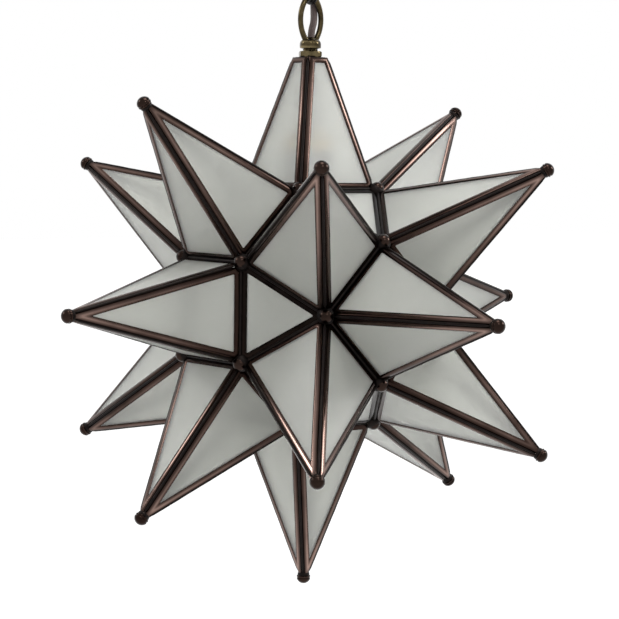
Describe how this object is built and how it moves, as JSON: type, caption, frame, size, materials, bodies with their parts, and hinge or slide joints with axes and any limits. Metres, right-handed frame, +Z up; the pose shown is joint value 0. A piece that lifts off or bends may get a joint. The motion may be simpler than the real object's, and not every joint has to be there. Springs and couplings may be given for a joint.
{
  "type": "moravian star pendant",
  "caption": "Hanging glass star lamp: frosted pyramid points in dark bronze channel frames on a hollow core, on a ring loop and chain link.",
  "frame": {"origin": "middle of the crossbar's two screw holes on the ceiling plane, above the star's middle", "axes": "+Z up; +X along the crossbar and towards the star's right point; -Y towards its front point"},
  "size_m": [0.38, 0.38, 0.4867],
  "materials": {
    "bronze": "dark oil-rubbed bronze with worn edges",
    "frosted_glass": "etched, translucent white",
    "aged_brass": "antique brass",
    "blackened_steel": "black bronze",
    "zinc_steel": "zinc plated",
    "phenolic": "moulded",
    "bright_brass": "drawn",
    "bulb_glass": "opal",
    "cord": "brown braided sleeve"
  },
  "bodies": {
    "canopy_body": {"canopy": "blackened_steel", "canopy_loop": "blackened_steel", "screw_collar": "blackened_steel", "crossbar": "zinc_steel", "cord_high": "cord"},
    "link_body": {"chain_link": "blackened_steel"},
    "star_body": {"back_point_frames": "bronze", "back_point_glass": "frosted_glass", "beads_and_buttons": "bronze", "bulb_base": "aged_brass", "bulb_glass": "bulb_glass", "cord_low": "cord", "front_point_frames": "bronze", "front_point_glass": "frosted_glass", "hatch_catch": "aged_brass", "hinge_leaf_star": "aged_brass", "hinge_pin": "aged_brass", "lampholder_body": "phenolic", "lampholder_cap": "bright_brass", "lampholder_contacts": "bright_brass", "left_point_frames": "bronze", "left_point_glass": "frosted_glass", "lock_nut": "aged_brass", "lower_back_left_point_frames": "bronze", "lower_back_left_point_glass": "frosted_glass", "lower_back_right_point_frames": "bronze", "lower_back_right_point_glass": "frosted_glass", "lower_front_left_point_frames": "bronze", "lower_front_left_point_glass": "frosted_glass", "lower_front_right_point_frames": "bronze", "lower_front_right_point_glass": "frosted_glass", "lower_left_point_frames": "bronze", "lower_left_point_glass": "frosted_glass", "lower_right_point_frames": "bronze", "lower_right_point_glass": "frosted_glass", "right_point_frames": "bronze", "right_point_glass": "frosted_glass", "star_loop": "aged_brass", "threaded_tube": "aged_brass", "top_plate": "bronze", "top_point_frames": "bronze", "top_point_glass": "frosted_glass", "triangle_frames": "bronze", "triangle_glass": "frosted_glass", "upper_back_left_point_frames": "bronze", "upper_back_left_point_glass": "frosted_glass", "upper_back_right_point_frames": "bronze", "upper_back_right_point_glass": "frosted_glass", "upper_front_left_point_frames": "bronze", "upper_front_left_point_glass": "frosted_glass", "upper_front_right_point_frames": "bronze", "upper_front_right_point_glass": "frosted_glass", "upper_left_point_frames": "bronze", "upper_left_point_glass": "frosted_glass", "upper_right_point_frames": "bronze", "upper_right_point_glass": "frosted_glass"},
    "hatch_body": {"bottom_point_frames": "bronze", "bottom_point_glass": "frosted_glass", "bottom_tip_button": "bronze", "hinge_leaf_hatch": "aged_brass"}
  },
  "joints": [
    {"name": "link_swing", "type": "hinge", "parent": "canopy_body", "child": "link_body", "pos_m": [0, 0, -0.06425], "axis": [1, 0, 0], "range_deg": [-30, 30], "deforming": ["cord_high"]},
    {"name": "star_swing", "type": "hinge", "parent": "link_body", "child": "star_body", "pos_m": [0, 0, -0.09505], "axis": [0, 1, 0], "range_deg": [-30, 30], "deforming": ["cord_low"]},
    {"name": "hatch_hinge", "type": "hinge", "parent": "star_body", "child": "hatch_body", "pos_m": [0, 0.03423, -0.37652], "axis": [1, 0, 0], "range_deg": [0, 105]}
  ]
}
